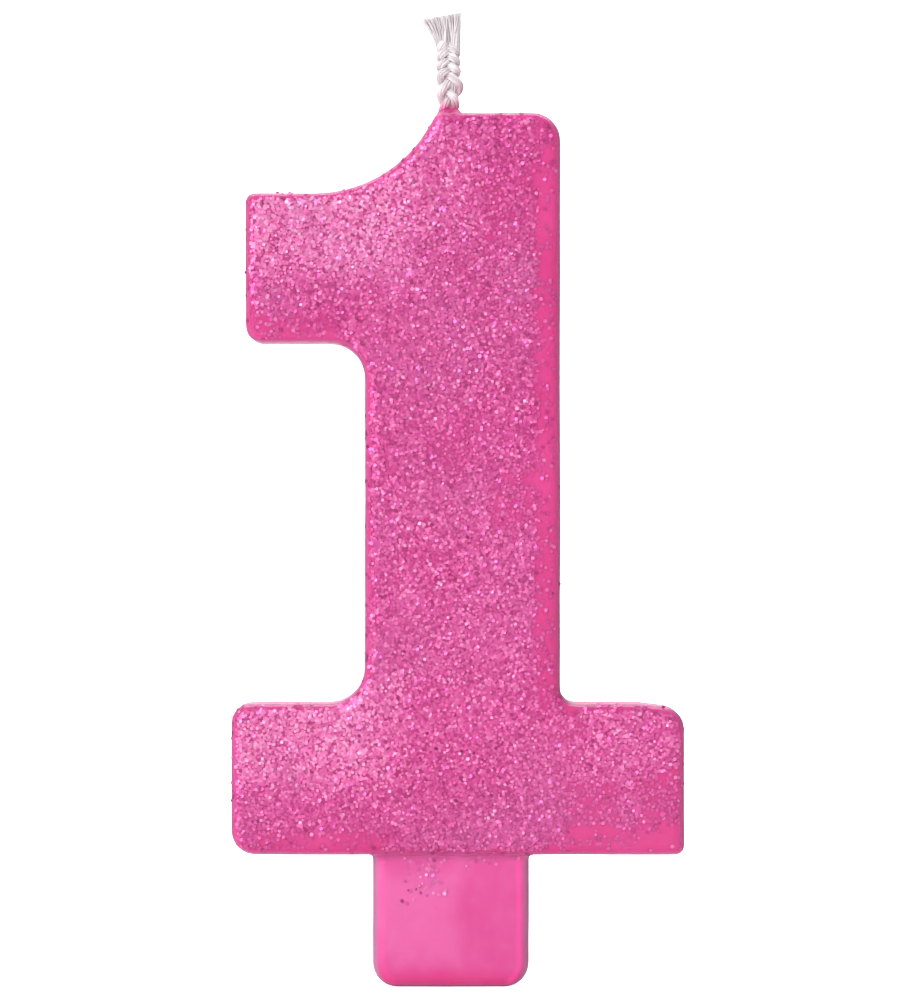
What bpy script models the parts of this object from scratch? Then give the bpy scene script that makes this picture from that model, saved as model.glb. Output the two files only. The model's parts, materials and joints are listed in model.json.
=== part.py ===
"""A numeral-one birthday candle: a flat cast-wax figure standing on a wax cake peg,
glitter on its front, and a plaited cotton wick that leans at its root.

Frame: metres, +Z up. The origin is on the peg's centre line at the foot's underside,
where the candle meets the top of a cake. -Y is the glittered front, +X its right.
"""

from math import acos, atan2, ceil, cos, pi, radians, sin, tan

import bmesh
import bpy
from mathutils import Vector

MM = 0.001

# Figure: its foot bar, stem and flag, seen from the front
FIGURE_HEIGHT = 101.55 * MM
FIGURE_THICKNESS = 12.5 * MM
FOOT_WIDTH = 62.0 * MM
FOOT_HEIGHT = 20.7 * MM
FOOT_CENTRE_X = 0.95 * MM
FOOT_DROOP = 0.8 * MM            # the foot's right shoulder runs slightly downhill
FOOT_DROOP_RUN = 6.0 * MM
STEM_WIDTH = 26.75 * MM
STEM_CENTRE_X = 1.6 * MM
TOP_WIDTH = 16.9 * MM            # the flat on top of the stem, up to the nose corner
NOSE_SLOPE = radians(61.0)       # the stretch that falls from the nose to the flag
FLAG_REACH = 16.3 * MM
FLAG_DROP = 11.0 * MM
FLAG_HEIGHT = 20.5 * MM

# Corner and edge radii of the figure
R_FOOT_LOW_LEFT = 3.3 * MM
R_FOOT_LOW_RIGHT = 1.1 * MM
R_FOOT_TOP_RIGHT = 3.0 * MM
R_FOOT_DROOP = 12.0 * MM
R_FOOT_TOP_LEFT = 2.6 * MM
R_STEM_FOOT_RIGHT = 2.1 * MM
R_STEM_FOOT_LEFT = 5.0 * MM
R_STEM_TOP_RIGHT = 3.8 * MM
R_NOSE = 0.8 * MM
R_SHOULDER = 18.0 * MM           # the long hollow between the nose and the flag
R_FLAG_TOP = 1.1 * MM
R_FLAG_LOW = 2.3 * MM
R_FLAG_STEM = 4.9 * MM
FRONT_EDGE_RADIUS = 1.5 * MM
BACK_EDGE_RADIUS = 1.0 * MM

# Peg: pushed into the cake
PEG_WIDTH = 21.4 * MM
PEG_LENGTH = 18.15 * MM
PEG_THICKNESS = 9.0 * MM
PEG_CORNER_RADIUS = 3.3 * MM
PEG_EDGE_RADIUS = 1.6 * MM
PEG_ROOT = 4.0 * MM              # how far the peg's wax runs up inside the foot

# Glitter coat: on the front face and round part of its edge
COAT_THICKNESS = 0.25 * MM
COAT_GAP = 0.1 * MM
COAT_WRAP = radians(50.0)

# Wick
WICK_FROM_NOSE = 1.7 * MM
WICK_CORE_RADIUS = 1.05 * MM
WICK_DEPTH = 84.0 * MM           # length of wick inside the wax
BORE_CLEARANCE = 0.1 * MM
BORE_END_GAP = 0.3 * MM
COLLAR_HEIGHT = 0.85 * MM        # wax that climbs the wick
COLLAR_RADIUS = 1.5 * MM         # at its rim
COLLAR_SKIRT = 0.25 * MM         # how much wider it is where it leaves the figure
COLLAR_WAIST = 0.35 * MM         # height over which most of the skirt is gone
COLLAR_ROOT = 1.2 * MM
WICK_LENGTH = 12.8 * MM          # exposed, above the collar
YARN_RADIUS = 0.42 * MM
YARN_START = 1.4 * MM            # above the hinge axis, clear of the core's dome
PLAIT_HALF_WIDTH = 1.05 * MM
PLAIT_HALF_DEPTH = 0.8 * MM
PLAIT_PITCH = 8.6 * MM
PLAIT_PHASE = radians(205.0)
PLAIT_OPENING = 3.0 * MM         # height over which the plait opens from its root
ROOT_WIDTH_SHARE = 0.62          # how tightly the plait is drawn together at its root
ROOT_DEPTH_SHARE = 0.8
ROOT_YARN_SHARE = 0.75
TUFT_HEIGHT = 4.9 * MM           # the last stretch, where the yarns come apart
TUFT_LEAN = -1.15 * MM
TUFT_SPACING = 1.72 * MM
TUFT_DEPTH = 0.9 * MM            # the middle yarn's cut end lies behind the other two
TUFT_YARN_RADIUS = 0.7 * MM
TUFT_CUT_STEP = 0.62 * MM        # the cut rises to the right, yarn by yarn

# What follows from the sizes above
FRONT_Y = -FIGURE_THICKNESS / 2
BACK_Y = FIGURE_THICKNESS / 2
FOOT_LEFT = FOOT_CENTRE_X - FOOT_WIDTH / 2
FOOT_RIGHT = FOOT_CENTRE_X + FOOT_WIDTH / 2
STEM_LEFT = STEM_CENTRE_X - STEM_WIDTH / 2
STEM_RIGHT = STEM_CENTRE_X + STEM_WIDTH / 2
NOSE_X = STEM_RIGHT - TOP_WIDTH
FLAG_TOP = FIGURE_HEIGHT - FLAG_DROP
FLAG_LOW = FLAG_TOP - FLAG_HEIGHT
FLAG_LEFT = STEM_LEFT - FLAG_REACH
WICK_X = NOSE_X + WICK_FROM_NOSE
HINGE_Z = FIGURE_HEIGHT + COLLAR_HEIGHT
WICK_TOP = HINGE_Z + WICK_LENGTH

CHORD_ERROR = 0.04 * MM          # how far an arc's facets may cut inside it
CUT_OVERSHOOT = 1.0 * MM         # how far a cutter stands out of what it cuts
EDGE_STEPS = 4
ROUND_SIDES = 16
DOME_STEPS = 5
YARN_SIDES = 8
YARN_STEPS = 26


def clear_scene():
    for item in list(bpy.data.objects):
        bpy.data.objects.remove(item, do_unlink=True)


def make_material(name, colour, roughness, metallic=0.0):
    material = bpy.data.materials.new(name)
    material.use_nodes = True
    shader = material.node_tree.nodes["Principled BSDF"]
    shader.inputs["Base Color"].default_value = (*colour, 1.0)
    shader.inputs["Roughness"].default_value = roughness
    shader.inputs["Metallic"].default_value = metallic
    return material


def pink_wax():
    return make_material("pink_wax", (0.82, 0.10, 0.33), 0.42)


def pink_glitter():
    return make_material("pink_glitter", (0.72, 0.16, 0.36), 0.3, 0.5)


def waxed_cotton():
    return make_material("waxed_cotton", (0.80, 0.76, 0.77), 0.75)


def add_object(name, bm, material):
    bmesh.ops.recalc_face_normals(bm, faces=bm.faces)
    mesh = bpy.data.meshes.new(name)
    bm.to_mesh(mesh)
    bm.free()
    mesh.materials.append(material)
    mesh.shade_smooth()
    mesh.set_sharp_from_angle(angle=radians(35.0))
    item = bpy.data.objects.new(name, mesh)
    bpy.context.scene.collection.objects.link(item)
    return item


def loft(name, rings, material):
    """A closed solid through rings of equal length, with a flat face at each end."""
    bm = bmesh.new()
    loops = [[bm.verts.new(point) for point in ring] for ring in rings]
    for lower, upper in zip(loops, loops[1:]):
        for i in range(len(lower)):
            j = (i + 1) % len(lower)
            bm.faces.new((lower[i], lower[j], upper[j], upper[i]))
    bm.faces.new(loops[0])
    bm.faces.new(loops[-1])
    return add_object(name, bm, material)


def rounded_outline(corners, inset, y):
    """The outline through corners (x, z, radius), counter-clockwise from the front.

    It is moved inwards by inset, so a radius shrinks where the outline is convex and
    grows where it is hollow. Every inset gives the same number of points.
    """
    least_radius = 0.02 * MM
    points = []
    for i, (x, z, radius) in enumerate(corners):
        here = Vector((x, z))
        before = Vector(corners[i - 1][:2])
        after = Vector(corners[(i + 1) % len(corners)][:2])
        along_in = (here - before).normalized()
        along_out = (after - here).normalized()
        normal_in = Vector((-along_in.y, along_in.x))
        normal_out = Vector((-along_out.y, along_out.x))
        turn = atan2(along_in.cross(along_out), along_in.dot(along_out))
        side = 1.0 if turn > 0 else -1.0
        apex = here + (normal_in + normal_out) * (inset / (1 + normal_in.dot(normal_out)))
        bend = max(radius - side * inset, least_radius)
        centre = apex - along_in * (bend * tan(abs(turn) / 2)) + normal_in * (side * bend)
        spoke = normal_in * (-side * bend)
        steps = max(3, ceil(abs(turn) / (2 * acos(1 - CHORD_ERROR / radius))))
        for k in range(steps + 1):
            angle = turn * k / steps
            px = centre.x + spoke.x * cos(angle) - spoke.y * sin(angle)
            pz = centre.y + spoke.x * sin(angle) + spoke.y * cos(angle)
            points.append((px, y, pz))
    return points


def figure_corners():
    nose_foot_x = NOSE_X - FLAG_DROP / tan(NOSE_SLOPE)
    return [
        (FOOT_LEFT, 0.0, R_FOOT_LOW_LEFT),
        (FOOT_RIGHT, 0.0, R_FOOT_LOW_RIGHT),
        (FOOT_RIGHT, FOOT_HEIGHT - FOOT_DROOP, R_FOOT_TOP_RIGHT),
        (FOOT_RIGHT - FOOT_DROOP_RUN, FOOT_HEIGHT, R_FOOT_DROOP),
        (STEM_RIGHT, FOOT_HEIGHT, R_STEM_FOOT_RIGHT),
        (STEM_RIGHT, FIGURE_HEIGHT, R_STEM_TOP_RIGHT),
        (NOSE_X, FIGURE_HEIGHT, R_NOSE),
        (nose_foot_x, FLAG_TOP, R_SHOULDER),
        (FLAG_LEFT, FLAG_TOP, R_FLAG_TOP),
        (FLAG_LEFT, FLAG_LOW, R_FLAG_LOW),
        (STEM_LEFT, FLAG_LOW, R_FLAG_STEM),
        (STEM_LEFT, FOOT_HEIGHT, R_STEM_FOOT_LEFT),
        (FOOT_LEFT, FOOT_HEIGHT, R_FOOT_TOP_LEFT),
    ]


def peg_corners():
    half = PEG_WIDTH / 2
    return [
        (-half, -PEG_LENGTH, PEG_CORNER_RADIUS),
        (half, -PEG_LENGTH, PEG_CORNER_RADIUS),
        (half, PEG_ROOT, PEG_EDGE_RADIUS),
        (-half, PEG_ROOT, PEG_EDGE_RADIUS),
    ]


def slab_rings(corners, front_y, back_y, front_radius, back_radius):
    """Rings of a flat slab with rounded front and back edges, from front to back."""
    rings = []
    for k in range(EDGE_STEPS + 1):
        angle = pi / 2 * k / EDGE_STEPS
        inset = front_radius * (1 - sin(angle))
        rings.append(rounded_outline(corners, inset, front_y + front_radius * (1 - cos(angle))))
    for k in range(EDGE_STEPS, -1, -1):
        angle = pi / 2 * k / EDGE_STEPS
        inset = back_radius * (1 - sin(angle))
        rings.append(rounded_outline(corners, inset, back_y - back_radius * (1 - cos(angle))))
    return rings


def turned_rings(axis_x, profile, sides=ROUND_SIDES):
    """Rings about a vertical axis through (axis_x, 0), from a profile of (radius, z)."""
    return [
        [
            (axis_x + radius * cos(2 * pi * i / sides), radius * sin(2 * pi * i / sides), z)
            for i in range(sides)
        ]
        for radius, z in profile
    ]


def hide_tool(item):
    item.hide_render = True
    item.display_type = "WIRE"


def add_boolean(item, tool, operation):
    hide_tool(tool)
    modifier = item.modifiers.new(tool.name, "BOOLEAN")
    modifier.operation = operation
    modifier.object = tool
    modifier.solver = "EXACT"


def wick_bore(material):
    radius = WICK_CORE_RADIUS + BORE_CLEARANCE
    floor = HINGE_Z - WICK_DEPTH - BORE_END_GAP
    profile = [(radius, floor), (radius, HINGE_Z + CUT_OVERSHOOT)]
    return loft("bore_tool", turned_rings(WICK_X, profile), material)


def wax_collar(material):
    """The little sleeve of wax around the wick where it leaves the figure."""
    profile = [
        (COLLAR_RADIUS, FIGURE_HEIGHT - COLLAR_ROOT),
        (COLLAR_RADIUS + COLLAR_SKIRT, FIGURE_HEIGHT),
        (COLLAR_RADIUS + COLLAR_SKIRT / 4, FIGURE_HEIGHT + COLLAR_WAIST),
        (COLLAR_RADIUS, HINGE_Z),
    ]
    return loft("collar_tool", turned_rings(WICK_X, profile), material)


def make_casting(material):
    """Figure, peg and collar: one pour of wax, with the wick's bore down its stem."""
    figure = slab_rings(figure_corners(), FRONT_Y, BACK_Y, FRONT_EDGE_RADIUS, BACK_EDGE_RADIUS)
    half_peg = PEG_THICKNESS / 2
    peg = slab_rings(peg_corners(), -half_peg, half_peg, PEG_EDGE_RADIUS, PEG_EDGE_RADIUS)
    casting = loft("wax_casting", figure, material)
    add_boolean(casting, loft("peg_tool", peg, material), "UNION")
    add_boolean(casting, wax_collar(material), "UNION")
    add_boolean(casting, wick_bore(material), "DIFFERENCE")
    return casting


def make_glitter_coat(material):
    """A thin skin over the figure's front that follows its rounded edge part way."""
    corners = figure_corners()
    bend_y = FRONT_Y + FRONT_EDGE_RADIUS
    inner = FRONT_EDGE_RADIUS + COAT_GAP
    outer = inner + COAT_THICKNESS
    angles = [COAT_WRAP * k / EDGE_STEPS for k in range(EDGE_STEPS + 1)]
    path = [(outer, angle) for angle in angles] + [(inner, angle) for angle in reversed(angles)]
    rings = [
        rounded_outline(corners, FRONT_EDGE_RADIUS - reach * sin(angle), bend_y - reach * cos(angle))
        for reach, angle in path
    ]
    return loft("glitter_coat", rings, material)


def make_wick_core(material):
    """The length of wick inside the wax, ending in a dome about the hinge axis."""
    profile = [(WICK_CORE_RADIUS, HINGE_Z - WICK_DEPTH)]
    for k in range(DOME_STEPS):
        angle = pi / 2 * k / DOME_STEPS
        profile.append((WICK_CORE_RADIUS * cos(angle), HINGE_Z + WICK_CORE_RADIUS * sin(angle)))
    return loft("wick_in_wax", turned_rings(WICK_X, profile), material)


def smooth_step(value):
    t = min(max(value, 0.0), 1.0)
    return t * t * (3 - 2 * t)


def share_from(root_share, opening):
    return root_share + (1 - root_share) * opening


def yarn_section(index, z):
    """Centre (x, y) and radius of one of the three plaited yarns at the height z."""
    rise = z - HINGE_Z
    phase = PLAIT_PHASE + 2 * pi * (rise / PLAIT_PITCH + index / 3)
    opening = smooth_step((rise - YARN_START) / PLAIT_OPENING)
    plait_x = share_from(ROOT_WIDTH_SHARE, opening) * PLAIT_HALF_WIDTH * sin(phase)
    plait_y = share_from(ROOT_DEPTH_SHARE, opening) * PLAIT_HALF_DEPTH * sin(2 * phase)
    plait_radius = share_from(ROOT_YARN_SHARE, opening) * YARN_RADIUS
    tuft_x = TUFT_LEAN + (index - 1) * TUFT_SPACING
    tuft_y = TUFT_DEPTH if index == 1 else -TUFT_DEPTH / 2
    undone = smooth_step((z - (WICK_TOP - TUFT_HEIGHT)) / TUFT_HEIGHT)
    x = WICK_X + plait_x + (tuft_x - plait_x) * undone
    y = plait_y + (tuft_y - plait_y) * undone
    return x, y, plait_radius + (TUFT_YARN_RADIUS - YARN_RADIUS) * undone


def make_yarn(index, material):
    """One yarn of the exposed plait, from the dome to its cut end in the tuft."""
    start = HINGE_Z + YARN_START
    end = WICK_TOP - (2 - index) * TUFT_CUT_STEP
    rings = []
    for k in range(YARN_STEPS + 1):
        z = start + (end - start) * k / YARN_STEPS
        x, y, radius = yarn_section(index, z)
        ring = turned_rings(x, [(radius, z)], YARN_SIDES)[0]
        rings.append([(px, py + y, pz) for px, py, pz in ring])
    return loft(f"wick_yarn_{index + 1}", rings, material)


def hang_on_hinge(yarns):
    """Parent the yarns to an empty on the axis about which the wick leans."""
    hinge = bpy.data.objects.new("wick_hinge", None)
    hinge.location = (WICK_X, 0.0, HINGE_Z)
    bpy.context.scene.collection.objects.link(hinge)
    bpy.context.view_layer.update()
    for yarn in yarns:
        yarn.parent = hinge
        yarn.matrix_parent_inverse = hinge.matrix_world.inverted()


def main():
    clear_scene()
    cotton = waxed_cotton()
    make_casting(pink_wax())
    make_glitter_coat(pink_glitter())
    make_wick_core(cotton)
    hang_on_hinge([make_yarn(index, cotton) for index in range(3)])


main()
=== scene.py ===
"""Looks of the numeral-one birthday candle: satin pink wax, thousands of film flakes on
the front, and a plaited cotton wick with a frayed, slanting cut.

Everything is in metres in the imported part's own frame: +Z up, -Y the glittered front.
"""

import json
from math import cos, pi, radians, sin

import bmesh
import bpy
import numpy as np
from mathutils import Matrix, Vector, noise
from mathutils.kdtree import KDTree


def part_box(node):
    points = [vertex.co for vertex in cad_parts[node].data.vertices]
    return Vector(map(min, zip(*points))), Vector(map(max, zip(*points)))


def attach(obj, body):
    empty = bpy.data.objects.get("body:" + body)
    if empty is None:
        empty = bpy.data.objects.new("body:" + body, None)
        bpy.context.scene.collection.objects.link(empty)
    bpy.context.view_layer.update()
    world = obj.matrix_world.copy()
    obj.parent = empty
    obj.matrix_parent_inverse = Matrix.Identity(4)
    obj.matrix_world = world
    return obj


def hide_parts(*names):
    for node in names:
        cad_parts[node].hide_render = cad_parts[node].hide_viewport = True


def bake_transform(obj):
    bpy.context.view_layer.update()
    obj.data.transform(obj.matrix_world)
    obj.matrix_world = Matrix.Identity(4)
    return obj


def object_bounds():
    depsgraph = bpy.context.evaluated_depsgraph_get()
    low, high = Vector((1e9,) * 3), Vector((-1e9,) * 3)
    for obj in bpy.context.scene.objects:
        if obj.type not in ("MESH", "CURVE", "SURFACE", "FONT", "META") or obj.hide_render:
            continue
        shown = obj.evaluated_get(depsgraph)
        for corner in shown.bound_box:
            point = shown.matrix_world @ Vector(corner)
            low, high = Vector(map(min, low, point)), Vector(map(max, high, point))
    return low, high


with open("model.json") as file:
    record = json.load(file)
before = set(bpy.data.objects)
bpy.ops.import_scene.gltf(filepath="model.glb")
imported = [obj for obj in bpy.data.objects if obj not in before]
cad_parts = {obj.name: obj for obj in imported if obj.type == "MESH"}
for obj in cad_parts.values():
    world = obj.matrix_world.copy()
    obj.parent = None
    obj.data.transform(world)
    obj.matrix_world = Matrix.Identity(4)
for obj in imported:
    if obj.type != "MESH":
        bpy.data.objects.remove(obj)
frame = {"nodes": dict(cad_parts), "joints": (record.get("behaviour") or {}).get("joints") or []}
cad_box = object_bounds()

MM = 0.001
BAKE_MAP = "OFBake"              # the UV map that the baked colours go into

# Camera: straight on, with the photograph's framing of the candle
CAMERA_DISTANCE = 0.9
VIEW_HEIGHT = 136.5 * MM         # what the picture's height spans at the candle's front
VIEW_RIGHT_OF_PEG = 0.5 * MM
VIEW_BELOW_TOP = 66.65 * MM      # from the wick's tip down to the middle of the picture
SENSOR = 36.0

# Light
ROOM_LIGHT = 0.53
KEY_LIGHT = 2.18                 # sun strength
KEY_ANGLE = radians(35.0)        # how broad the sun looks
KEY_FROM = (-0.75, -0.95, 0.60)
BACKDROP_LIGHT = 120.0
PAPER_GLOW = 1.0                 # whitens the floor and backdrop, and lights nothing
CARD_GREY = 0.17
# Grey cards beside the candle: x, and from where to where they reach in y
CARDS = {
    "card_left": (-90.0 * MM, 0.0 * MM, 200.0 * MM),
    "card_right": (85.0 * MM, 0.0 * MM, 200.0 * MM),
}
CARD_HEIGHTS = (-18.0 * MM, 160.0 * MM)

# Colours, linear RGB. Ramps give each colour's place from 0 to 1.
BARE_WAX = (
    (0.30, (0.66, 0.070, 0.282)),
    (0.55, (0.70, 0.094, 0.330)),
    (0.78, (0.74, 0.138, 0.385)),
)
GLUED_WAX = (
    (0.30, (0.61, 0.048, 0.222)),
    (0.70, (0.66, 0.062, 0.258)),
)
WAX_HAZE = (0.78, 0.29, 0.48)
MILKY_PINK = (0.84, 0.225, 0.530)
# painted shade at the bottom of the peg
BOTTOM_SHADE_PINK = (0.66, 0.030, 0.175)
# painted highlight on the peg's rounding front edges
HIGHLIGHT_PINK = (0.96, 0.100, 0.400)
# partly wax bloom, partly painted sheen, on the peg's upright edges
BLOOM_AND_SHEEN_MAUVE = (0.52, 0.205, 0.350)
# painted shade along the outline's rounded edges
SHADE_LINE_MAUVE = (0.50, 0.175, 0.340)
FILM = (
    (0.00, (0.37, 0.030, 0.160)),
    (0.22, (0.56, 0.049, 0.235)),
    (0.50, (0.67, 0.082, 0.320)),
    (0.72, (0.79, 0.172, 0.425)),
    (0.90, (0.87, 0.280, 0.535)),
    (1.00, (0.88, 0.390, 0.620)),
)
FILM_LILAC = (0.58, 0.175, 0.43)
COTTON_SHADED = (0.47, 0.43, 0.44)
COTTON_CLEAN = (0.90, 0.845, 0.86)
COTTON_SOILED = (0.52, 0.455, 0.48)
COTTON_SOAKED = (0.86, 0.22, 0.45)

# Wax
WAX_VOXEL = 0.37 * MM
WAX_SMOOTHING = 4
WAX_WAVE = 0.055 * MM            # slow unevenness of the cast faces
WAX_WAVE_SIZE = 11.0 * MM
WAX_RIPPLE = 0.012 * MM
WAX_RIPPLE_SIZE = 2.4 * MM
FIGURE_EDGE = 1.5 * MM           # how far the rounded front edges reach back
PEG_FRONT = -4.5 * MM            # y of the peg's front face
PEG_EDGE = 1.6 * MM              # how far the peg's rounded front edges reach back
GRIP = 4.0 * MM                  # the wax closes round the wick over this depth
GRIP_RADIUS = 1.45 * MM
SHADE_LINE_STRENGTH = 0.6               # of the painted shade line along the outline
# The pale band on the peg's left and right edges: partly wax bloom, partly painted sheen
BLOOM_AND_SHEEN_LEFT, BLOOM_AND_SHEEN_RIGHT = 0.85, 0.70
# Strengths of the painted highlight on the peg's left and right edges
HIGHLIGHT_LEFT, HIGHLIGHT_RIGHT = 0.25, 0.60
MILKY_STRENGTH = 0.34
# Cloudy wax on the peg: middle x and z, half width and half height
MILKY_PLACE = (-4.6 * MM, -8.4 * MM, 5.4 * MM, 6.0 * MM)
# Painted shade at the bottom of the peg: its last millimetres drawn a darker pink
BOTTOM_SHADE_STRENGTH = 0.45
BOTTOM_SHADE_HEIGHT = 1.2 * MM           # of the painted shade, a darker, stronger pink, above the peg's tip

# Glitter
FLAKE_TRIES = 105000             # places tried; those too close to others drop out
FLAKE_WIDTH = 0.50 * MM          # across its corners
FLAKE_THICKNESS = 0.035 * MM
FLAKE_SIDES = 6
FLAKE_SPACING = 0.54             # least distance between flakes, as a share of a width
FLAKE_TILT = radians(10.0)
STANDING_SHARE = 0.018           # flakes that stand up steeply in the binder
STANDING_TILT = (radians(10.0), radians(30.0))
FLAKE_SHEETS = 4                 # pieces that share the flakes
FLAKE_LIFT = (0.02 * MM, 0.12 * MM)
SIDE_REACH = 0.8 * MM            # how far stray flakes run back over the sides
SIDE_SHARE = 0.012
# Tones run from 0, dark, to 1, pale
TONE_MIDDLE, TONE_SPREAD = 0.455, 0.148
# Painted glints: a few flakes that face straight out front are drawn near white
GLINT_SHARE, GLINT_TONES = 0.032, (0.74, 0.98)
DARK_SHARE, DARK_TONES = 0.068, (0.03, 0.18)
# Thin places in the glitter: middle x and z, half width and half height, share left
THIN_PLACES = (
    (14.6 * MM, 60.0 * MM, 3.4 * MM, 46.0 * MM, 0.03),    # stem, right edge
    (8.5 * MM, 89.0 * MM, 4.5 * MM, 6.0 * MM, 0.26),      # stem, upper right
    (8.6 * MM, 49.0 * MM, 3.4 * MM, 4.8 * MM, 0.16),      # stem, right of its middle
    (-0.5 * MM, 55.5 * MM, 3.4 * MM, 3.2 * MM, 0.24),     # stem, middle
    (19.5 * MM, 6.5 * MM, 3.6 * MM, 4.2 * MM, 0.18),      # foot, right part
    (-18.0 * MM, 0.0 * MM, 10.5 * MM, 3.6 * MM, 0.07),    # foot, left end's underside
    (24.0 * MM, 0.0 * MM, 10.5 * MM, 4.2 * MM, 0.07),     # foot, right end's underside
    (30.0 * MM, 6.0 * MM, 4.2 * MM, 7.0 * MM, 0.22),      # foot, right end
    (-22.0 * MM, 70.5 * MM, 8.5 * MM, 3.8 * MM, 0.12),    # flag, underside
)
# Places where the flakes are drawn paler: middle x and z, half width and half height, how much
PALE_PLACES = (
    (-20.0 * MM, 16.5 * MM, 12.0 * MM, 7.0 * MM, 0.28),   # foot, left end
    (23.0 * MM, 15.5 * MM, 11.0 * MM, 6.0 * MM, 0.12),    # foot, right end
    (-19.0 * MM, 85.5 * MM, 12.0 * MM, 6.5 * MM, 0.30),   # flag
    (-2.0 * MM, 92.5 * MM, 7.0 * MM, 8.0 * MM, 0.12),     # below the wick
    (2.0 * MM, 30.0 * MM, 11.0 * MM, 16.0 * MM, 0.04),    # stem, lower half
    (-3.0 * MM, -7.0 * MM, 12.0 * MM, 7.0 * MM, 0.22),    # the strays on the peg
)
# Flakes that strayed onto the peg: middle x and z, and how far they reach
SPILL = (-3.4 * MM, -3.0 * MM, 1.9 * MM)

# Wick
PLAIT_PITCH = 3.9 * MM
LOOSE_PITCH = 7.5 * MM           # the plait is looser over its first millimetres
LOOSE_TOP = 4.6 * MM             # above the wick's root
PLAIT_HALF_WIDTH = 1.15 * MM
PLAIT_HALF_DEPTH = 0.62 * MM
PLAIT_SHIFT = -0.10 * MM         # the plait sits a little left of its root
PLAIT_START = radians(70.0)
THREADS = 8                      # in each of the three yarns
THREAD_RADIUS = 0.19 * MM
YARN_FLATTENING = 0.75
YARN_TWIST = 6.5 * MM
LOOP_REACH = 0.38 * MM           # how far the loose strand stands off to the right
LOOP_HEIGHT = 2.9 * MM
EMBEDDED = 3.0 * MM              # length of plait modelled inside the wax
BUNDLE_TOP = 2.0 * MM            # below the wick's root, where the plait takes over
BUNDLE_TWIST = 26.0 * MM
TUFT_HEIGHT = 4.7 * MM
TUFT_FIBRES = 460
TUFT_FIBRE_RADIUS = 0.095 * MM
TUFT_HALF_WIDTH = 2.8 * MM
TUFT_LEAN = -1.15 * MM
TUFT_RISE = 0.4 * MM             # above the CAD yarns: the photo is laid on the candle's front
CORE_RINGS = ((0.54 * MM, 9), (0.24 * MM, 5))    # half width and number of threads
CORE_TWIST = 9.0 * MM
TUBE_SIDES = 6                   # of every thread, fibre and hair
FUZZ_FIBRES = 70
FUZZ_RADIUS = 0.018 * MM

RNG = np.random.default_rng(20241)


# ---------------------------------------------------------------- meshes

def make_object(name, vertices, faces, material, smooth=True):
    """A mesh object in the scene."""
    mesh = bpy.data.meshes.new(name)
    mesh.from_pydata(vertices, [], faces)
    mesh.materials.append(material)
    mesh.polygons.foreach_set("use_smooth", [smooth] * len(mesh.polygons))
    mesh.update()
    item = bpy.data.objects.new(name, mesh)
    bpy.context.scene.collection.objects.link(item)
    return item


def points_of(mesh):
    places = np.empty(len(mesh.vertices) * 3, np.float32)
    mesh.vertices.foreach_get("co", places)
    return places.reshape(-1, 3).astype(float)


def normals_of(mesh):
    found = np.empty(len(mesh.vertices) * 3, np.float32)
    mesh.vertices.foreach_get("normal", found)
    return found.reshape(-1, 3).astype(float)


def apply_modifiers(item):
    """Gives the object the mesh that its modifiers make."""
    graph = bpy.context.evaluated_depsgraph_get()
    made = bpy.data.meshes.new_from_object(item.evaluated_get(graph), depsgraph=graph)
    item.modifiers.clear()
    item.data = made


def write_attribute(mesh, name, values):
    """Stores a number on every point, for the materials to read."""
    made = mesh.attributes.new(name, "FLOAT", "POINT")
    made.data.foreach_set("value", np.asarray(values, np.float32))


def write_map(mesh, corners, owners, count):
    """A UV map with a grid cell for each owner; corners are places inside the cell, 0 to 1."""
    columns = int(np.ceil(count ** 0.5))
    owners = np.asarray(owners)
    cell = np.stack([owners % columns, owners // columns], axis=1)
    inset = 0.06 + 0.88 * np.asarray(corners, float)
    made = mesh.uv_layers.new(name=BAKE_MAP)
    made.data.foreach_set("uv", ((cell + inset) / columns).astype(np.float32).ravel())


# ---------------------------------------------------------------- places

def smooth_step(value):
    """0 below 0, 1 above 1, and a soft rise between."""
    t = np.clip(value, 0.0, 1.0)
    return t * t * (3 - 2 * t)


def lumps(places, size, seed):
    """Smooth noise from 0 to 1 over many points."""
    offset = Vector((seed, seed * 0.7, -seed))
    return np.array([
        0.5 + 0.5 * noise.noise(Vector((x, y, z)) / size + offset) for x, y, z in places
    ])


def inside_of(places, patch, ragged, margin):
    """How far inside a patch of the front each point lies, from 0 to 1."""
    x, z, half_width, half_height = patch
    across = np.abs(places[:, 0] - x) / half_width
    along = np.abs(places[:, 2] - z) / half_height
    return 1 - smooth_step((np.maximum(across, along) + ragged - 1 + margin) / (2 * margin))


# ---------------------------------------------------------------- materials

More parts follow.
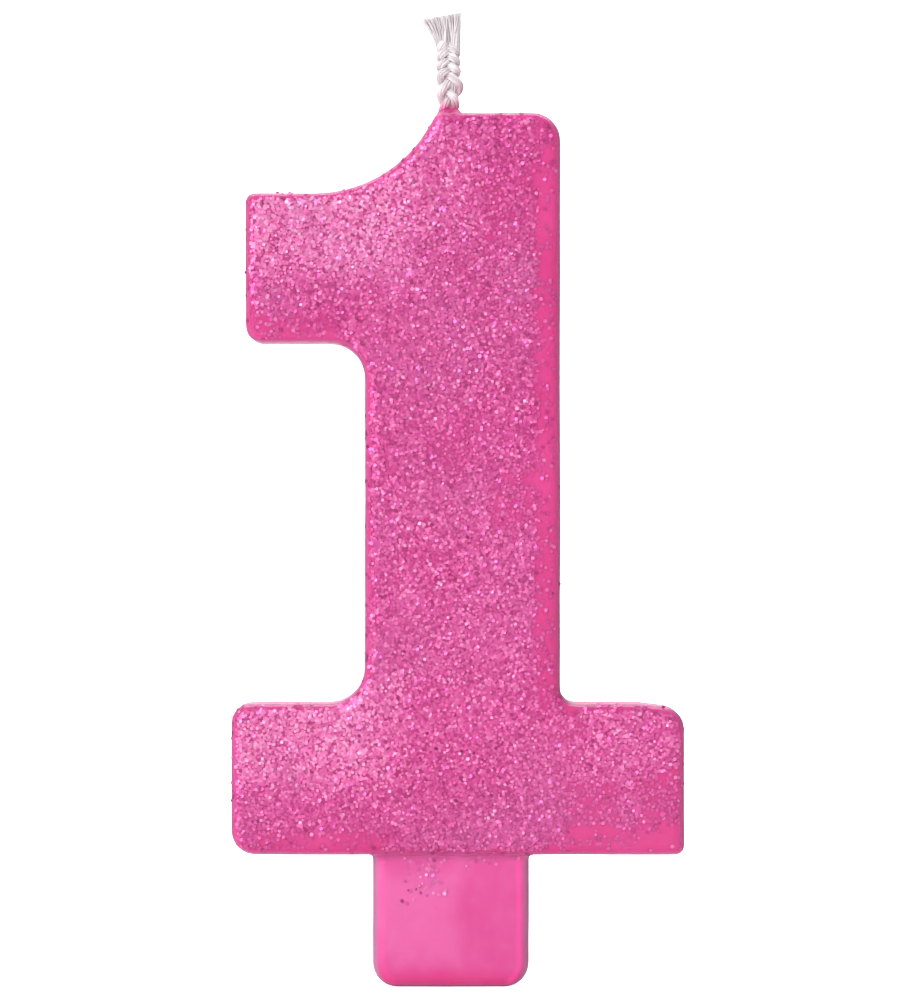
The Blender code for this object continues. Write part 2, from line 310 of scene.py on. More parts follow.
class Nodes:
    """A material's node tree, with short calls for the nodes used here."""

    def __init__(self, name):
        self.material = bpy.data.materials.new(name)
        self.material.use_nodes = True
        self.tree = self.material.node_tree
        self.shader = self.tree.nodes["Principled BSDF"]

    def add(self, kind, **settings):
        """A new node of this kind."""
        node = self.tree.nodes.new(kind)
        for key, value in settings.items():
            setattr(node, key, value)
        return node

    def link(self, output, target):
        self.tree.links.new(output, target)

    def feed(self, node, values):
        """Sets a node's inputs, each to a value or by a link from another node's output."""
        for key, value in values.items():
            socket = node.inputs[key]
            if isinstance(value, bpy.types.NodeSocket):
                self.link(value, socket)
            else:
                socket.default_value = value
        return node

    def place(self):
        """Each point's own place on the object."""
        return self.add("ShaderNodeTexCoord").outputs["Object"]

    def attribute(self, name):
        """A number stored on the mesh's points."""
        return self.add("ShaderNodeAttribute", attribute_name=name).outputs["Fac"]

    def noise(self, size, detail=2.0, roughness=0.5, stretch=None):
        """Noise whose lumps are about this size in metres, from 0 to 1."""
        vector = self.place()
        if stretch:
            mapping = self.add("ShaderNodeMapping")
            mapping.inputs["Scale"].default_value = stretch
            self.link(vector, mapping.inputs["Vector"])
            vector = mapping.outputs["Vector"]
        node = self.add("ShaderNodeTexNoise")
        values = {"Vector": vector, "Scale": 1 / size, "Detail": detail, "Roughness": roughness}
        return self.feed(node, values).outputs["Fac"]

    def cells(self, size):
        """Distance to the nearest of many scattered points, about this far apart."""
        node = self.add("ShaderNodeTexVoronoi", feature="F1")
        return self.feed(node, {"Vector": self.place(), "Scale": 1 / size}).outputs["Distance"]

    def ramp(self, value, stops):
        """A colour ramp from (position, colour) stops; a grey may be one number."""
        node = self.add("ShaderNodeValToRGB")
        marks = node.color_ramp.elements
        while len(marks) < len(stops):
            marks.new(0.5)
        for mark, (position, colour) in zip(marks, stops):
            mark.position = position
            colour = (colour,) * 3 if isinstance(colour, (int, float)) else colour
            mark.color = (*colour, 1.0)
        self.link(value, node.inputs["Fac"])
        return node.outputs["Color"]

    def span(self, value, low, high, start=0.0, end=1.0):
        """Low to high as value goes from start to end."""
        node = self.add("ShaderNodeMapRange")
        self.feed(node, {"Value": value, "From Min": start, "From Max": end})
        return self.feed(node, {"To Min": low, "To Max": high}).outputs["Result"]

    def mix(self, share, first, second):
        """The first colour at a share of 0, the second at 1."""
        node = self.add("ShaderNodeMix", data_type="RGBA", blend_type="MIX")
        pairs = ((0, share), (6, first), (7, second))
        for index, value in pairs:
            if isinstance(value, bpy.types.NodeSocket):
                self.link(value, node.inputs[index])
            elif index == 0:
                node.inputs[index].default_value = value
            else:
                node.inputs[index].default_value = (*value, 1.0)
        return node.outputs[2]

    def bump(self, height, depth, strength, under=None):
        """A normal that follows this height, on top of the relief under it."""
        node = self.add("ShaderNodeBump")
        values = {"Height": height, "Distance": depth, "Strength": strength}
        if under is not None:
            values["Normal"] = under
        return self.feed(node, values).outputs["Normal"]


def wax_material():
    """Dyed paraffin: slightly cloudy, satin, with light that enters and comes back pink."""
    n = Nodes("pink_wax_look")
    cloud = n.noise(9.0 * MM, detail=3.0)
    bloom = n.noise(2.2 * MM, detail=4.0, roughness=0.65)
    hazy = n.mix(n.span(bloom, 0.0, 0.09, 0.50, 0.80), n.ramp(cloud, BARE_WAX), WAX_HAZE)
    colour = n.mix(n.attribute("coated"), hazy, n.ramp(cloud, GLUED_WAX))
    colour = n.mix(n.attribute("milky"), colour, MILKY_PINK)
    # painted shade at the bottom of the peg, stored as deep
    colour = n.mix(n.attribute("deep"), colour, BOTTOM_SHADE_PINK)
    # painted highlight on the peg's front edges
    colour = n.mix(n.attribute("lit_edge"), colour, HIGHLIGHT_PINK)
    # pale band on the peg's edges: partly wax bloom, partly painted sheen
    colour = n.mix(n.attribute("bloom"), colour, BLOOM_AND_SHEEN_MAUVE)
    # painted shade line along the outline, stored as rim
    colour = n.mix(n.attribute("rim"), colour, SHADE_LINE_MAUVE)
    grain = n.noise(0.35 * MM, detail=3.0, roughness=0.6)
    scuffs = n.noise(1.4 * MM, detail=5.0, roughness=0.7, stretch=(1.0, 1.0, 0.16))
    pits = n.span(n.cells(2.6 * MM), 0.0, 1.0, 0.03, 0.11)
    relief = n.bump(scuffs, 0.05 * MM, 0.5)
    relief = n.bump(grain, 0.018 * MM, 0.6, relief)
    relief = n.bump(pits, 0.02 * MM, 0.6, relief)
    satin = n.span(bloom, 0.30, 0.52, 0.25, 0.80)
    rough = n.span(n.attribute("coated"), satin, 0.21)
    n.feed(n.shader, {
        "Base Color": colour,
        "Roughness": rough,
        "Normal": relief,
        "IOR": 1.44,
        "Specular IOR Level": 0.35,
        "Subsurface Weight": 0.45,
        "Subsurface Radius": (1.0, 0.25, 0.45),
        "Subsurface Scale": 1.6 * MM,
    })
    return n.material


def flake_material():
    """Metallised film in many tones of pink, one tone to a flake."""
    n = Nodes("glitter_flake_look")
    tone = n.attribute("tone")
    lilac = n.span(n.noise(14.0 * MM), 0.0, 0.25, 0.42, 0.72)
    film = n.mix(lilac, n.ramp(tone, FILM), FILM_LILAC)
    ripple = n.noise(0.12 * MM, detail=1.0)
    n.feed(n.shader, {
        "Base Color": film,
        "Metallic": 0.5,
        "Roughness": n.span(tone, 0.30, 0.46),
        "Normal": n.bump(ripple, 0.012 * MM, 0.5),
    })
    return n.material


def cotton_material():
    """Waxed cotton thread: off-white, pink where the casting's wax has soaked in."""
    n = Nodes("waxed_cotton_look")
    fibre = n.noise(0.10 * MM, detail=3.0, roughness=0.7)
    patch = n.noise(0.9 * MM, detail=2.0)
    # the tone runs from shaded to clean cotton: it differs at random from thread to thread, and
    # the darkest, on the core threads, is painted shade
    thread = n.mix(n.attribute("tone"), COTTON_SHADED, COTTON_CLEAN)
    soiled = n.mix(n.span(patch, 0.0, 0.35, 0.45, 0.75), thread, COTTON_SOILED)
    waxed = n.mix(n.attribute("soak"), soiled, COTTON_SOAKED)
    n.feed(n.shader, {
        "Base Color": waxed,
        "Roughness": n.span(patch, 0.55, 0.80),
        "Normal": n.bump(fibre, 0.03 * MM, 0.8),
        "Sheen Weight": 0.25,
        "Sheen Roughness": 0.5,
        "Subsurface Weight": 0.15,
        "Subsurface Radius": (1.0, 0.9, 0.9),
        "Subsurface Scale": 0.3 * MM,
    })
    return n.material


def paper_material():
    """The pale floor and its sweep, which glows for the camera only."""
    n = Nodes("studio_sweep")
    seen = n.add("ShaderNodeLightPath").outputs["Is Camera Ray"]
    n.feed(n.shader, {
        "Base Color": n.ramp(n.noise(0.4), [(0.3, 0.93), (0.7, 0.96)]),
        "Roughness": 0.9,
        "Specular IOR Level": 0.1,
        "Emission Color": (1.0, 1.0, 1.0, 1.0),
        "Emission Strength": n.span(seen, 0.0, PAPER_GLOW),
    })
    return n.material


def card_material():
    """Grey felt."""
    n = Nodes("grey_card")
    n.feed(n.shader, {
        "Base Color": n.ramp(n.noise(0.01), [(0.3, 0.8 * CARD_GREY), (0.7, 1.2 * CARD_GREY)]),
        "Roughness": 1.0,
        "Specular IOR Level": 0.0,
    })
    return n.material


# ---------------------------------------------------------------- wax

def add_grip(mesh, axis_x, top_z):
    """Adds the wax that closes the bore's mouth round the wick, which the remesh joins on."""
    bm = bmesh.new()
    bm.from_mesh(mesh)
    place = Matrix.Translation((axis_x, 0.0, top_z - GRIP / 2))
    bmesh.ops.create_cone(
        bm, cap_ends=True, segments=32, radius1=GRIP_RADIUS, radius2=GRIP_RADIUS * 0.9,
        depth=GRIP, matrix=place,
    )
    bm.to_mesh(mesh)
    bm.free()


def cast_unevenness(places, normals):
    """How far each point of the wax stands out of or sinks below the true shape."""
    shifts = np.empty(len(places))
    for i, (x, y, z) in enumerate(places):
        wave = noise.noise(Vector((x, y * 0.5, z)) / WAX_WAVE_SIZE)
        ripple = noise.noise(Vector((x, y, z)) / WAX_RIPPLE_SIZE)
        shifts[i] = WAX_WAVE * wave + WAX_RIPPLE * ripple
    return places + normals * shifts[:, None]


def coated_share(places, normals):
    """Where the glitter's clear binder lies on the wax, from 0 to 1."""
    foot_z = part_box("glitter_coat")[0][2]
    front = smooth_step((-normals[:, 1] - 0.1) / 0.5)
    return front * smooth_step((places[:, 2] - foot_z + 0.3 * MM) / (0.5 * MM))


def shade_line_share(places, normals):
    """A painted shade line along the outline: the rounded edges that turn from the front are
    drawn a darker mauve.
    """
    foot_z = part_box("glitter_coat")[0][2]
    figure_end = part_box("wax_casting")[0][1] + FIGURE_EDGE
    end = np.where(places[:, 2] < foot_z, PEG_FRONT + PEG_EDGE, figure_end)
    sideways = np.sqrt(np.clip(1 - normals[:, 1] ** 2, 0, 1))
    outer = smooth_step((sideways - 0.58) / 0.36)
    behind = smooth_step((places[:, 1] - end + 0.3 * MM) / (0.9 * MM))
    return SHADE_LINE_STRENGTH * outer * (1 - behind)


def on_peg(places):
    """1 on the peg, 0 on the figure."""
    foot_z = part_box("glitter_coat")[0][2]
    return 1 - smooth_step((places[:, 2] - foot_z + 0.8 * MM) / (0.8 * MM))


def bloom_and_sheen_share(places, normals):
    """The pale band on the peg's upright edges: partly wax bloom, partly painted sheen, stronger
    on the left, where the key light falls.
    """
    turned_away = smooth_step((np.abs(normals[:, 0]) - 0.40) / 0.30)
    behind = smooth_step((places[:, 1] - PEG_FRONT - PEG_EDGE) / (1.2 * MM))
    strength = np.where(normals[:, 0] < 0, BLOOM_AND_SHEEN_LEFT, BLOOM_AND_SHEEN_RIGHT)
    return strength * on_peg(places) * turned_away * (1 - 0.8 * behind)


def painted_highlight_share(places, normals):
    """A painted highlight: the pale line where the peg's front starts to round off, stronger on
    the right.
    """
    sideways = np.abs(normals[:, 0])
    line = smooth_step((sideways - 0.02) / 0.12) * (1 - smooth_step((sideways - 0.30) / 0.25))
    strength = np.where(places[:, 0] > 0, HIGHLIGHT_RIGHT, HIGHLIGHT_LEFT)
    return strength * line * on_peg(places) * (normals[:, 1] < 0)


def milky_share(places):
    """Cloudy wax on the left of the peg."""
    ragged = 0.5 * (lumps(places, 4.5 * MM, 6.2) - 0.5)
    return MILKY_STRENGTH * on_peg(places) * inside_of(places, MILKY_PLACE, ragged, 0.40)


def bottom_shade_share(places):
    """Painted shade: the darker, stronger pink of the last millimetres of the peg."""
    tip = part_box("wax_casting")[0][2]
    ragged = 1.2 * MM * (lumps(places, 3.5 * MM, 2.4) - 0.5)
    above = smooth_step((places[:, 2] + ragged - tip - BOTTOM_SHADE_HEIGHT) / (2.0 * MM))
    return BOTTOM_SHADE_STRENGTH * (1 - above)


def make_wax(material):
    """The casting, with softened edges and the slight unevenness of poured wax."""
    node = frame["nodes"]["wax_casting"]
    core_low, core_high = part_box("wick_in_wax")
    axis_x = (core_low[0] + core_high[0]) / 2
    root_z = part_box("wax_casting")[1][2]
    wax = bpy.data.objects.new("wax_body", node.data.copy())
    bpy.context.scene.collection.objects.link(wax)
    add_grip(wax.data, axis_x, root_z)
    remesh = wax.modifiers.new("remesh", "REMESH")
    remesh.mode = "VOXEL"
    remesh.voxel_size = WAX_VOXEL
    soften = wax.modifiers.new("soften", "SMOOTH")
    soften.factor = 0.5
    soften.iterations = WAX_SMOOTHING
    apply_modifiers(wax)
    places = cast_unevenness(points_of(wax.data), normals_of(wax.data))
    wax.data.vertices.foreach_set("co", places.astype(np.float32).ravel())
    wax.data.materials.clear()
    wax.data.materials.append(material)
    wax.data.shade_smooth()
    wax.data.update()
    normals = normals_of(wax.data)
    shares = {
        "coated": coated_share(places, normals),
        # painted shade line along the outline
        "rim": shade_line_share(places, normals),
        # pale band on the peg's edges, partly painted sheen
        "bloom": bloom_and_sheen_share(places, normals),
        # painted highlight on the peg's front edges
        "lit_edge": painted_highlight_share(places, normals),
        "milky": milky_share(places),
        # painted shade at the bottom of the peg
        "deep": bottom_shade_share(places),
    }
    for name, share in shares.items():
        write_attribute(wax.data, name, share)
    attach(wax, "candle")
    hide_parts("wax_casting")
    return wax


# ---------------------------------------------------------------- glitter

def thinned(places):
    """What the thin places leave of the glitter, from 0 to 1."""
    left = np.ones(len(places))
    ragged = 0.35 * (lumps(places, 1.6 * MM, 5.5) - 0.5)
    for *patch, share in THIN_PLACES:
        left *= 1 - (1 - share) * inside_of(places, patch, ragged, 0.30)
    return left


def paler(places):
    """How much paler the flakes are at each point."""
    shift = np.zeros(len(places))
    ragged = 0.3 * (lumps(places, 4.0 * MM, 1.5) - 0.5)
    for *patch, amount in PALE_PLACES:
        shift += amount * inside_of(places, patch, ragged, 0.45)
    return shift


def glitter_share(places, normals):
    """How thickly flakes lie at each point, from 0 to 1."""
    coat_low, coat_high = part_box("glitter_coat")
    edge_y, foot_z = coat_high[1], coat_low[2]
    facing = smooth_step((-normals[:, 1] - 0.86) / 0.12)
    behind = np.clip(places[:, 1] - edge_y, 0, None)
    side = SIDE_SHARE * np.exp(-behind / SIDE_REACH) * (behind < 4 * SIDE_REACH)
    share = np.maximum(0.02 * (normals[:, 1] < -0.3) + 0.98 * facing, side)
    share *= 0.60 + 0.40 * smooth_step((lumps(places, 13.0 * MM, 3.1) - 0.28) / 0.32)
    share *= 0.75 + 0.25 * smooth_step((lumps(places, 2.6 * MM, 8.7) - 0.25) / 0.3)
    share *= thinned(places)
    x, z, reach = SPILL
    from_spill = np.hypot(places[:, 0] - x, (places[:, 2] - z) * 0.7) / reach
    strays = 0.07 * np.exp(-from_spill ** 2) + 0.00004
    strays += 0.06 * np.exp((places[:, 2] - foot_z) / (0.5 * MM))
    return np.where(places[:, 2] < foot_z, strays * facing, share)


def scatter(mesh, count):
    """Random points where glitter lies on a mesh: places and normals."""
    mesh.calc_loop_triangles()
    corners = np.empty(len(mesh.loop_triangles) * 3, np.int32)
    mesh.loop_triangles.foreach_get("vertices", corners)
    corners = corners.reshape(-1, 3)
    places, normals = points_of(mesh), normals_of(mesh)
    a, b, c = (places[corners[:, i]] for i in range(3))
    area = np.linalg.norm(np.cross(b - a, c - a), axis=1) / 2
    weight = area * glitter_share(places, normals)[corners].mean(axis=1)
    chosen = RNG.choice(len(corners), size=count, p=weight / weight.sum())
    u, v = RNG.random(count), RNG.random(count)
    fold = u + v > 1
    u[fold], v[fold] = 1 - u[fold], 1 - v[fold]
    w = 1 - u - v
    spots = a[chosen] * w[:, None] + b[chosen] * u[:, None] + c[chosen] * v[:, None]
    na, nb, nc = (normals[corners[chosen, i]] for i in range(3))
    facing = na * w[:, None] + nb * u[:, None] + nc * v[:, None]
    return spots, facing / np.linalg.norm(facing, axis=1)[:, None]


def spread_apart(spots, least):
    """Indices of the points that keep this distance from each other, first come first."""
    tree = KDTree(len(spots))
    for i, spot in enumerate(spots):
        tree.insert(spot, i)
    tree.balance()
    kept = np.ones(len(spots), bool)
    for i, spot in enumerate(spots):
        if not kept[i]:
            continue
        for _, j, _ in tree.find_range(spot, least):
            if j > i:
                kept[j] = False
    return np.flatnonzero(kept)


def turned(normals, tilt, spin):
    """The axes of each tilted and spun flake: two in its plane and one out of it."""
    count = len(normals)
    helper = np.where(np.abs(normals[:, 2:3]) < 0.9, [[0.0, 0.0, 1.0]], [[1.0, 0.0, 0.0]])
    first = np.cross(helper, normals)
    first /= np.linalg.norm(first, axis=1)[:, None]
    second = np.cross(normals, first)
    lean_to = RNG.random(count) * 2 * pi
    lean = first * np.cos(lean_to)[:, None] + second * np.sin(lean_to)[:, None]
    across = np.cross(normals, lean)
    up = normals * np.cos(tilt)[:, None] + lean * np.sin(tilt)[:, None]
    down = lean * np.cos(tilt)[:, None] - normals * np.sin(tilt)[:, None]
    u = down * np.cos(spin)[:, None] + across * np.sin(spin)[:, None]
    v = np.cross(up, u)
    return u, v, up


def flake_mesh(name, centres, axes, widths, tones, material):
    """Closed hexagonal flakes as one mesh, with a tone stored on each."""
    u, v, up = axes
    count = len(centres)
    n = FLAKE_SIDES
    angles = 2 * pi / n * np.arange(n)
    rings = []
    for side in (0.5, -0.5):
        for angle in angles:
            edge = u * cos(angle) + v * sin(angle)
            rings.append(centres + edge * widths[:, None] / 2 + up * side * FLAKE_THICKNESS)
    vertices = np.stack(rings, axis=1).reshape(-1, 3)
    top = list(range(n))
    bottom = [k + n for k in reversed(top)]
    walls = [[k, k + n, (k + 1) % n + n, (k + 1) % n] for k in top]
    start = (np.arange(count) * 2 * n)[:, None]
    hexes = np.concatenate([start + np.array(top), start + np.array(bottom)])
    quads = np.concatenate([start + np.array(wall) for wall in walls])
    faces = hexes.tolist() + quads.tolist()
    item = make_object(name, vertices, faces, material, smooth=False)
    write_attribute(item.data, "tone", np.repeat(tones, 2 * n))
    ring = 0.5 + 0.5 * np.stack([np.cos(angles), np.sin(angles)], axis=1)
    inner = 0.08 + 0.84 * ring
    spread = np.concatenate([inner, ring])
    hex_corners = np.concatenate([np.tile(inner, (count, 1)), np.tile(inner[::-1], (count, 1))])
    wall_corners = np.concatenate([np.tile(spread[wall], (count, 1)) for wall in walls])
    hex_owners = np.tile(np.repeat(np.arange(count), n), 2)
    wall_owners = np.tile(np.repeat(np.arange(count), 4), n)
    corners_uv = np.concatenate([hex_corners, wall_corners])
    write_map(item.data, corners_uv, np.concatenate([hex_owners, wall_owners]), count)
    return item


def flake_tones(spots, normals):
    """Each flake's tone, from 0, dark, to 1, pale; the palest, on a few flakes that face
    straight out front, are painted glints.
    """
    count = len(spots)
    tones = np.clip(RNG.normal(TONE_MIDDLE, TONE_SPREAD, count) + paler(spots), 0.0, 1.0)
    sunk = 1 - thinned(spots)
    chance = RNG.random(count)
    # painted glints: near-white tones on a few front-facing flakes
    glint_flakes = chance < GLINT_SHARE * (1 - sunk) * (normals[:, 1] < -0.95)
    tones[glint_flakes] = RNG.uniform(*GLINT_TONES, glint_flakes.sum())
    dark = chance > 1 - DARK_SHARE * (1 - sunk)
    tones[dark] = RNG.uniform(*DARK_TONES, dark.sum())
    return tones * (1 - 0.10 * sunk)


def make_glitter(wax, material):
    """The flakes on the wax, shared out over a few meshes."""
    spots, normals = scatter(wax.data, FLAKE_TRIES)
    keep = spread_apart(spots, FLAKE_WIDTH * FLAKE_SPACING)
    spots, normals = spots[keep], normals[keep]
    count = len(spots)
    widths = FLAKE_WIDTH * (0.78 + 0.44 * RNG.random(count))
    tilt = np.abs(RNG.normal(0.0, FLAKE_TILT, count))
    standing = RNG.random(count) < STANDING_SHARE
    tilt[standing] += RNG.uniform(*STANDING_TILT, standing.sum())
    spin = RNG.random(count) * 2 * pi
    lift = RNG.uniform(*FLAKE_LIFT, count) + np.sin(tilt) * widths * 0.25
    tones = flake_tones(spots, normals)
    centres = spots + normals * lift[:, None]
    u, v, up = turned(normals, tilt, spin)
    for k in range(FLAKE_SHEETS):
        mine = np.arange(k, count, FLAKE_SHEETS)
        axes = (u[mine], v[mine], up[mine])
        name = f"glitter_flakes_{k + 1}"
        sheet = flake_mesh(name, centres[mine], axes, widths[mine], tones[mine], material)
        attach(sheet, "candle")
        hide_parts("glitter_coat")


# ---------------------------------------------------------------- wick

class Tubes:
    """Collects closed tubes, with a tone and a soak value on every point."""

    def __init__(self):
        self.vertices, self.faces, self.tones, self.soaks = [], [], [], []
        self.corners, self.owners, self.count = [], [], 0

    def add(self, path, radii, tone, soak):
        """A tube along path, with a radius and a soak value for each of its points."""
        path = np.asarray(path, float)
        tangents = np.gradient(path, axis=0)
        tangents /= np.linalg.norm(tangents, axis=1)[:, None]
        side = Vector((0.0, 1.0, 0.0)).cross(Vector(tangents[0]))
        if side.length < 0.1:
            side = Vector((1.0, 0.0, 0.0)).cross(Vector(tangents[0]))
        side.normalize()
        start = len(self.vertices)
        n = TUBE_SIDES
        for centre, along, radius, wet in zip(path, tangents, radii, soak):
            along = Vector(along)
            side = (side - along * side.dot(along)).normalized()
            other = along.cross(side)
            for k in range(n):
                angle = 2 * pi * k / n
                edge = side * cos(angle) + other * sin(angle)
                self.vertices.append(Vector(centre) + edge * radius)
            self.tones += [tone] * n
            self.soaks += [wet] * n
        last = len(path) - 1
        for r in range(last):
            low, high = start + r * n, start + (r + 1) * n
            near, far = 0.05 + 0.9 * r / last, 0.05 + 0.9 * (r + 1) / last
            for k in range(n):
                after = (k + 1) % n
                self.faces.append((low + k, low + after, high + after, high + k))
                left, right = k / n, (k + 1) / n
                self.corners += [(left, near), (right, near), (right, far), (left, far)]
        self.faces.append(tuple(start + k for k in reversed(range(n))))
        self.faces.append(tuple(start + last * n + k for k in range(n)))
        turns = [2 * pi * k / n for k in range(n)]
        rim = [(0.5 + 0.4 * cos(turn), 0.02 + 0.02 * sin(turn)) for turn in turns]
        self.corners += rim[::-1] + [(u, v + 0.95) for u, v in rim]
        self.owners += [self.count] * (4 * n * last + 2 * n)
        self.count += 1

    def build(self, name, material):
        """All the tubes so far as one object."""
        item = make_object(name, self.vertices, self.faces, material)
        write_attribute(item.data, "tone", self.tones)
        write_attribute(item.data, "soak", self.soaks)
        write_map(item.data, self.corners, self.owners, self.count)
        return item


class Wick:
    """Where the plait runs: heights are measured up from its root."""

    def __init__(self):
        self.x, self.y, self.z = frame["joints"][0]["pos_m"]
        self.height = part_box("wick_yarn_3")[1][2] - self.z

    def phase(self, h):
        """The plait's turn at the height h, slower where it is loose."""
        loose = np.minimum(h, LOOSE_TOP)
        tight = np.maximum(h - LOOSE_TOP, 0.0)
        return 2 * pi * (loose / LOOSE_PITCH + tight / PLAIT_PITCH) + PLAIT_START

    def yarn(self, index, h):
        """Centre of a yarn at the height h."""
        phase = self.phase(h) + 2 * pi * index / 3
        narrow = 0.80 + 0.20 * smooth_step(h / (2.5 * MM))
        x = self.x + PLAIT_SHIFT + PLAIT_HALF_WIDTH * narrow * np.sin(phase)
        y = self.y + PLAIT_HALF_DEPTH * np.sin(2 * phase)
        swell = np.exp(-((h - LOOP_HEIGHT) / (1.2 * MM)) ** 2)
        right = smooth_step((np.sin(phase) - 0.2) / 0.8)
        return np.stack([x + LOOP_REACH * swell * right, y, self.z + h], axis=-1)

    def thread(self, index, k, h):
        """Centre of a thread, which winds slowly round its yarn."""
        centre = self.yarn(index, h)
        before, after = self.yarn(index, h - 0.05 * MM), self.yarn(index, h + 0.05 * MM)
        along = after - before
        along /= np.linalg.norm(along, axis=1)[:, None]
        out = np.cross(along, np.array([0.0, 1.0, 0.0]))
        out /= np.linalg.norm(out, axis=1)[:, None]
        deep = np.cross(out, along)
        ring = 0.0 if k == 0 else 2.05 * THREAD_RADIUS
        turn = 2 * pi * (k / (THREADS - 1) + h / YARN_TWIST)
        flat = YARN_FLATTENING
        aside = out * (ring * np.cos(turn))[:, None]
        return centre + aside + deep * (ring * flat * np.sin(turn))[:, None]


def soak_at(h):
    """How far the casting's pink wax has crept up the threads."""
    return 1.0 - smooth_step((h + 0.2 * MM) / (1.3 * MM))


def add_threads(tubes, wick):
    """The threads of the three plaited yarns."""
    top = wick.height - TUFT_HEIGHT + 0.9 * MM
    for index in range(3):
        for k in range(THREADS):
            h = np.linspace(-EMBEDDED, top, 120)
            radii = THREAD_RADIUS * (1 + 0.08 * np.sin(h / (0.31 * MM) + 2.1 * k + index))
            tone = RNG.uniform(0.35, 1.0)
            tubes.add(wick.thread(index, k, h), radii, tone, soak_at(h))


def add_core(tubes, wick):
    """Straight threads that the three yarns are plaited round."""
    h = np.linspace(-EMBEDDED, wick.height - TUFT_HEIGHT + 1.5 * MM, 60)
    looser = np.exp(-((h - 3.0 * MM) / (1.6 * MM)) ** 2)
    for spread, threads in CORE_RINGS:
        for k in range(threads):
            turn = 2 * pi * k / threads + h / CORE_TWIST
            x = wick.x + 0.10 * MM * looser + spread * (1 + 0.3 * looser) * np.cos(turn)
            y = wick.y + 0.4 * spread * np.sin(turn)
            path = np.stack([x, y, wick.z + h], axis=1)
            radii = np.full(len(h), THREAD_RADIUS * 0.9)
            # the core threads take dark tones: painted shade inside the plait, seen through its
            # gaps
            tubes.add(path, radii, RNG.uniform(0.1, 0.5), soak_at(h))


def add_tuft(tubes, wick):
    """Fibres that leave the plait and flare to a slanting cut."""
    start = np.array([wick.height - TUFT_HEIGHT - 0.3 * MM])
    pairs = [(i, k) for i in range(3) for k in range(THREADS)]
    pairs.sort(key=lambda pair: wick.thread(*pair, start)[0][0])
    for i in range(TUFT_FIBRES):
        across = 2 * (i + RNG.random()) / TUFT_FIBRES - 1
        pair = pairs[int((across + 1) / 2 * len(pairs))]
        root = wick.thread(*pair, start + RNG.uniform(-0.3, 0.5) * MM)[0]
        deep = RNG.uniform(-1, 1) * (1 - 0.5 * across * across) ** 0.5
        end_x = wick.x + TUFT_LEAN + TUFT_HALF_WIDTH * across
        end_h = wick.height + TUFT_RISE - (0.5 - 0.5 * across + abs(RNG.normal(0, 0.16))) * MM
        end = np.array([end_x, wick.y + 1.35 * MM * deep, wick.z + end_h])
        t = np.linspace(0, 1, 14)
        flare = 0.25 * t + 0.75 * t ** 1.6
        path = root + (end - root) * np.stack([flare, flare, t], axis=1)
        wobble = 0.06 * MM * np.sin(t[:, None] * RNG.uniform(5, 9) + RNG.random(3) * 6)
        path += wobble * (t * (1 - 0.3 * t))[:, None]
        radii = TUFT_FIBRE_RADIUS * (1.15 - 0.35 * t) * RNG.uniform(0.8, 1.25)
        tubes.add(path, radii, RNG.uniform(0.25, 1.0), np.zeros(len(t)))


def add_fuzz(tubes, wick):
    """Fine loose hairs that stand off the plait."""
    for _ in range(FUZZ_FIBRES):
        h0 = RNG.uniform(0.8 * MM, wick.height - TUFT_HEIGHT)
        index, k = int(RNG.integers(3)), int(RNG.integers(1, THREADS))
        root = wick.thread(index, k, np.array([h0]))[0]
        out = root - np.array([wick.x, wick.y, root[2]])
        out /= max(np.linalg.norm(out), 1e-9)
        reach = RNG.uniform(0.35, 0.9) * MM
        t = np.linspace(0, 1, 8)
        rise = RNG.uniform(-0.5, 1.0) * MM
        path = root + out * (reach * t)[:, None]
        path[:, 2] += rise * t ** 1.6
        path[:, 0] += RNG.normal(0, 0.15) * MM * t ** 2
        tubes.add(path, np.full(len(t), FUZZ_RADIUS), 0.9, np.zeros(len(t)))


def make_embedded_wick(material):
    """The wick's length inside the casting's bore: a bundle of threads with a slow twist."""
    low, high = (Vector(corner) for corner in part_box("wick_in_wax"))
    middle = (low + high) / 2
    reach = (high.x - low.x) / 2 - THREAD_RADIUS
    z = np.linspace(low.z, frame["joints"][0]["pos_m"][2] - BUNDLE_TOP, 90)
    tubes = Tubes()
    rings = ((0.0, 1), (0.42 * reach, 6), (0.98 * reach, 13))
    for radius, threads in rings:
        for k in range(threads):
            turn = 2 * pi * (k / threads + (z - low.z) / BUNDLE_TWIST)
            x = middle.x + radius * np.cos(turn)
            y = middle.y + radius * np.sin(turn)
            path = np.stack([x, y, z], axis=1)
            radii = np.full(len(z), THREAD_RADIUS * 1.02)
            tubes.add(path, radii, RNG.uniform(0.4, 1.0), np.full(len(z), 0.55))
    item = tubes.build("wick_in_casting", material)
    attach(item, "candle")
    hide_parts("wick_in_wax")


def make_wick(material):
    """The exposed wick, as one piece."""
    wick = Wick()
    tubes = Tubes()
    add_threads(tubes, wick)
    add_core(tubes, wick)
    add_tuft(tubes, wick)
    add_fuzz(tubes, wick)
    item = tubes.build("wick_plait", material)
    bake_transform(item)
    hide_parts("wick_yarn_1", "wick_yarn_2", "wick_yarn_3")


# ---------------------------------------------------------------- studio

def make_sweep(floor_z, material):
    """A pale floor that curves up into a backdrop far behind the candle."""
    half, near, far, bend, height = 6.0, -6.0, 4.0, 1.5, 6.0
    steps = 12
    profile = [(near, floor_z), (far, floor_z)]
    for k in range(1, steps + 1):
        angle = pi / 2 * k / steps
        profile.append((far + bend * sin(angle), floor_z + bend * (1 - cos(angle))))
    profile.append((far + bend, floor_z + height))
    vertices = [(x, y, z) for y, z in profile for x in (-half, half)]
    faces = [(2 * i, 2 * i + 1, 2 * i + 3, 2 * i + 2) for i in range(len(profile) - 1)]
    floor = make_object("floor", vertices, faces, material)


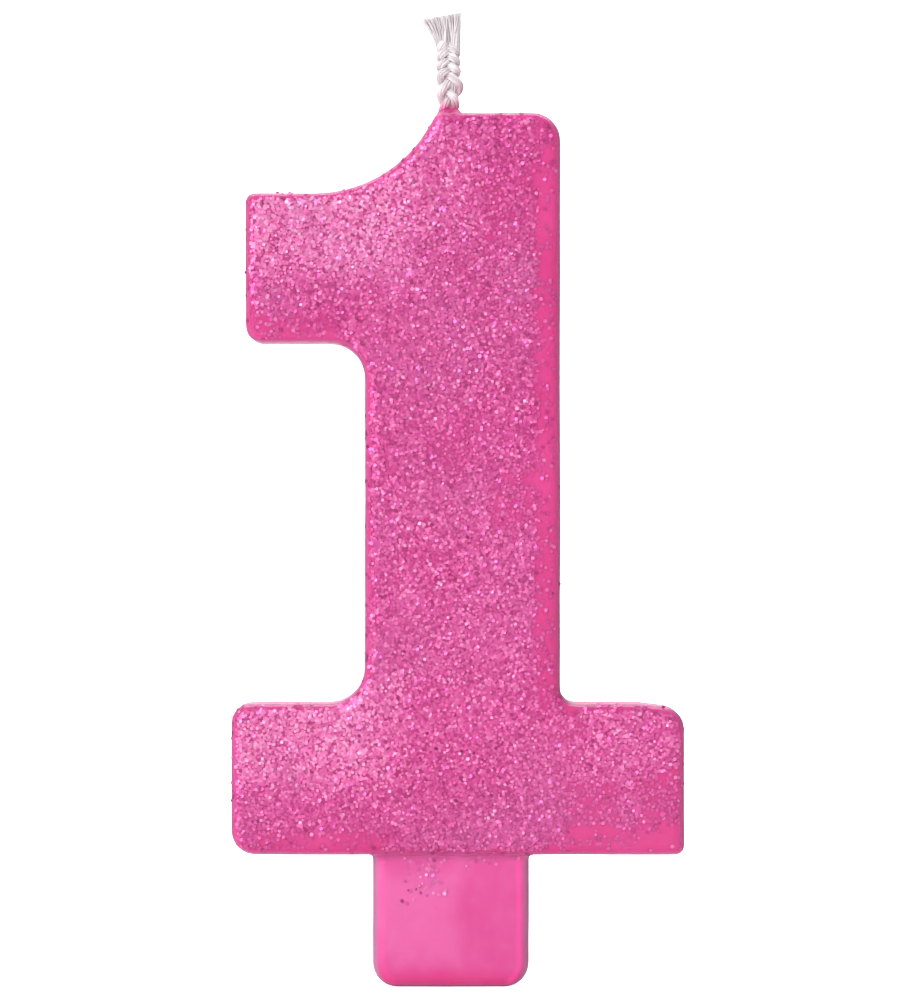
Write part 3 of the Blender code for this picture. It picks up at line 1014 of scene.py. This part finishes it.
def add_lamp(name, place, aim, size, power):
    """A rectangular area lamp that points at aim."""
    light = bpy.data.lights.new(name, "AREA")
    light.shape = "RECTANGLE"
    light.size, light.size_y = size
    light.energy = power
    lamp = bpy.data.objects.new(name, light)
    bpy.context.scene.collection.objects.link(lamp)
    lamp.location = place
    lamp.rotation_euler = (Vector(aim) - Vector(place)).to_track_quat("-Z", "Y").to_euler()


def add_cards(material):
    """Grey cards, unseen by the camera, that draw the candle's sides darker."""
    low, high = CARD_HEIGHTS
    for name, (x, near, far) in CARDS.items():
        corners = [(x, near, low), (x, far, low), (x, far, high), (x, near, high)]
        card = make_object(name, corners, [(0, 1, 2, 3)], material, smooth=False)
        card.visible_camera = False


def light_studio():
    """A pale room that looks white, a broad sun from the upper left, a lamp on the backdrop."""
    scene = bpy.context.scene
    world = bpy.data.worlds.new("studio")
    world.use_nodes = True
    sky = world.node_tree.nodes["Background"]
    sky.inputs["Color"].default_value = (1.0, 1.0, 1.0, 1.0)
    seen = world.node_tree.nodes.new("ShaderNodeLightPath")
    strength = world.node_tree.nodes.new("ShaderNodeMapRange")
    strength.inputs["To Min"].default_value = ROOM_LIGHT
    strength.inputs["To Max"].default_value = 1.0
    world.node_tree.links.new(seen.outputs["Is Camera Ray"], strength.inputs["Value"])
    world.node_tree.links.new(strength.outputs["Result"], sky.inputs["Strength"])
    scene.world = world
    sun = bpy.data.lights.new("key", "SUN")
    sun.energy = KEY_LIGHT
    sun.angle = KEY_ANGLE
    lamp = bpy.data.objects.new("key", sun)
    bpy.context.scene.collection.objects.link(lamp)
    lamp.rotation_euler = Vector(KEY_FROM).to_track_quat("Z", "Y").to_euler()
    add_lamp(
        "backdrop", place=(0.0, 1.2, 2.6), aim=(0.0, 3.2, 0.0), size=(4.0, 1.5),
        power=BACKDROP_LIGHT,
    )
    scene.view_settings.view_transform = "Standard"
    scene.view_settings.look = "None"


def add_camera(top_z):
    """A camera straight in front of the candle, framed as the photograph is."""
    front_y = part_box("glitter_coat")[0][1]
    camera = bpy.data.cameras.new("camera")
    camera.sensor_width = SENSOR
    camera.lens = SENSOR * CAMERA_DISTANCE / VIEW_HEIGHT
    camera.clip_start = 0.01
    camera.clip_end = 50.0
    eye = bpy.data.objects.new("camera", camera)
    bpy.context.scene.collection.objects.link(eye)
    eye.location = (VIEW_RIGHT_OF_PEG, front_y - CAMERA_DISTANCE, top_z - VIEW_BELOW_TOP)
    eye.rotation_euler = (radians(90.0), 0.0, 0.0)
    bpy.context.scene.camera = eye


def main():
    """Builds the scene."""
    floor_z, top_z = (corner[2] for corner in cad_box)
    add_camera(top_z)
    light_studio()
    add_cards(card_material())
    make_sweep(floor_z, paper_material())
    wax = make_wax(wax_material())
    make_glitter(wax, flake_material())
    cotton = cotton_material()
    make_wick(cotton)
    make_embedded_wick(cotton)


main()
